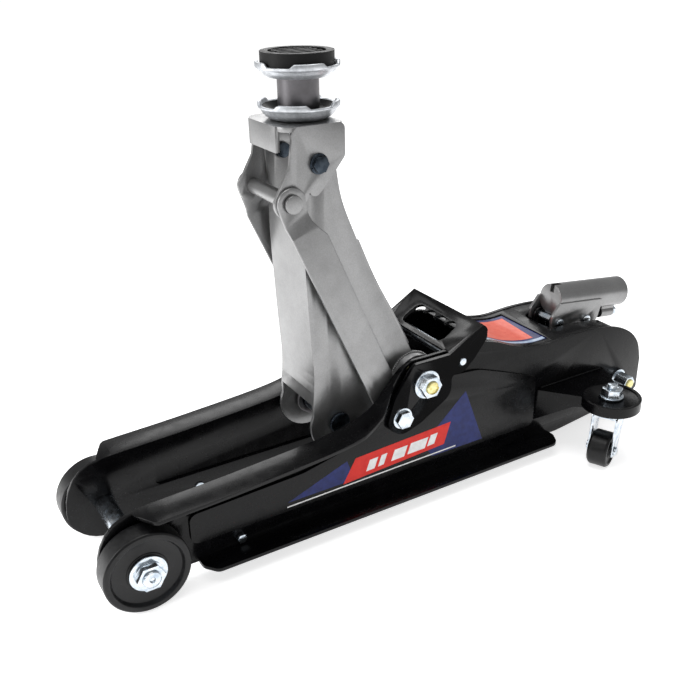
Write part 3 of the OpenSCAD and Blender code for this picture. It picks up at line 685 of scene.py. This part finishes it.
labels = {  # outlines on the side plates' panels, in mm behind the axle and over the floor
    "red": [(209, 45.5), (224, 71), (341, 76.5), (333, 52)],
    "rear": [(306, 60), (359.4, 107.6), (385, 42), (318, 42)],
    "front": [(147, 46.8), (214, 71), (222, 47)],
    "stripe": [(146, 41.2), (146.8, 42.6), (349, 45.6), (348.2, 44.2)],
    "bars": [(236, 10), (250, 7), (266, 16), (286, 22), (311, 9)],  # start and width of each slanted bar
    "bar": {"low": 51.5, "climb": 0.062, "slant": 4.5, "height": 12, "tilt": 0.5},
    "panel": 56.5, "sunk": 0.05, "film": 0.06,
}


def addFlat(name, points, side, raised, material):  # a flat shape on the side plate's panel
    deselect()
    bpy.ops.mesh.primitive_circle_add(vertices=len(points), radius=1, fill_type="NGON", location=(0, 0, 0))
    shape = bpy.context.object
    shape.name = name
    for vertex, (x, z) in zip(shape.data.vertices, points):
        vertex.co = fromAxle(x, side * (labels["panel"] - labels["sunk"]), z)
    editAll(shape)
    thickness = (raised + labels["sunk"]) / 1000
    bpy.ops.mesh.extrude_region_move(TRANSFORM_OT_translate={"value": (0, side * thickness, 0)})
    bpy.ops.mesh.select_all(action="SELECT")
    bpy.ops.mesh.normals_make_consistent(inside=False)
    closeEdit()
    finishPiece(shape, "root", material, 20)


def addSideLabels():
    film, form, firstBar = labels["film"], labels["bar"], labels["bars"][0][0]
    for side, name in ((-1, "_left"), (1, "_right")):
        addFlat("label_rear" + name, labels["rear"], side, film, vinylBlue)
        addFlat("label_front" + name, labels["front"], side, film, vinylBlue)
        addFlat("label_red" + name, labels["red"], side, 2 * film, vinylRed)
        addFlat("label_stripe" + name, labels["stripe"], side, 2 * film, vinylWhite)
        for i, (x, width) in enumerate(labels["bars"]):
            low = form["low"] + (x - firstBar) * form["climb"]
            high = low + form["height"]
            top = x + form["slant"]
            bar = [(x, low), (top, high), (top + width, high + form["tilt"]), (x + width, low + form["tilt"])]
            addFlat("label_bar_" + str(i) + name, bar, side, 3 * film, vinylWhite)


coverLabel = {  # reach behind the axle and across, skew, film, and how far it stands off the cover, in mm
    "blue": ((394, 486), (-38, 38), 0, vinylBlue, 0.15),
    "red": ((402, 478), (-28, 32), 6, vinylPink, 0.25),
    "pale": ((395, 485), (-37, -32), 0, vinylPale, 0.25),
}
overCover = 170  # the height that the patches drop from on to the cover, in mm


def addCoverLabel():
    for name, (along, across, skew, material, raised) in coverLabel.items():
        deselect()
        bpy.ops.mesh.primitive_grid_add(x_subdivisions=30, y_subdivisions=4, size=2, location=(0, 0, 0))
        patch = bpy.context.object
        patch.name = "cover_label_" + name
        for vertex in patch.data.vertices:
            u = (vertex.co.x + 1) / 2
            v = (vertex.co.y + 1) / 2
            y = across[0] + (across[1] - across[0]) * v
            x = along[0] + (along[1] - along[0]) * u + skew * (v - 0.5)
            vertex.co = fromAxle(x, y, overCover)
        wrap = patch.modifiers.new("On the cover", "SHRINKWRAP")
        wrap.wrap_method = "PROJECT"
        wrap.use_project_z = True
        wrap.use_negative_direction = True
        wrap.use_positive_direction = False
        wrap.target = finished["top_cover"]
        wrap.offset = raised / 1000
        applyModifiers(patch)
        finishPiece(patch, "root", material, 30)


addSideLabels()
addCoverLabel()
print("labels printed")

camera = {  # place and lens in mm, turns in radians
    "place": (-461.0, -693.0, 539.2), "heading": 1.03, "down": 0.439, "roll": -0.015, "lens": 45.4,
}
studio = {"floor": 40.0, "sky": 0.4, "glow": 0.68}
softboxes = {  # place and aim in metres, width and height, and watts
    "overhead softbox": ((-0.1, 0.1, 1.7), (0, 0, 0.1), 1.6, 1.2, 16),
    "front softbox": ((-1.5, 0.35, 0.8), (-0.1, 0, 0.25), 0.7, 0.9, 15),
    "back softbox": ((0.7, 1.4, 1.0), (0, 0, 0.2), 1.4, 0.6, 8),
}


def addCamera():
    deselect()
    bpy.ops.object.camera_add()
    eye = bpy.context.object
    eye.data.lens = camera["lens"]
    turn = Euler((math.pi / 2 - camera["down"], 0, camera["heading"] - math.pi / 2)).to_matrix().to_4x4()
    place = Matrix.Translation(Vector(camera["place"]) / 1000)
    eye.matrix_world = place @ turn @ Matrix.Rotation(camera["roll"], 4, "Z")
    bpy.context.scene.camera = eye


def addSoftbox(name, place, aim, width, height, power):
    bpy.ops.object.light_add(type="AREA", location=place)
    box = bpy.context.object
    box.name = name
    box.data.shape = "RECTANGLE"
    box.data.size = width
    box.data.size_y = height
    box.data.energy = power
    box.rotation_euler = (Vector(aim) - Vector(place)).to_track_quat("-Z", "Y").to_euler()


def addStudio():
    deselect()
    bpy.ops.mesh.primitive_plane_add(size=studio["floor"])
    floor = bpy.context.object
    floor.name = "studio_floor"
    surface = {"Roughness": 0.9, "Specular IOR Level": 0.2, "Emission Color": (1, 1, 1, 1),
               "Emission Strength": studio["glow"]}
    material, shader, place = startMaterial("white seamless paper", surface)
    tone = noise(material, place, 400, 2)
    join(material, ramped(material, tone, colour("#f4f4f5"), colour("#fafafa"), 0.3, 0.7),
         shader.inputs["Base Color"])
    floor.data.materials.append(material)
    world = bpy.data.worlds.new("studio light")
    world.use_nodes = True
    world.node_tree.nodes["Background"].inputs["Color"].default_value = (1, 1, 1, 1)
    world.node_tree.nodes["Background"].inputs["Strength"].default_value = studio["sky"]
    bpy.context.scene.world = world
    for name, (place, aim, width, height, power) in softboxes.items():
        addSoftbox(name, place, aim, width, height, power)
    bpy.context.scene.view_settings.view_transform = "Standard"


addCamera()
addStudio()
print("studio set")
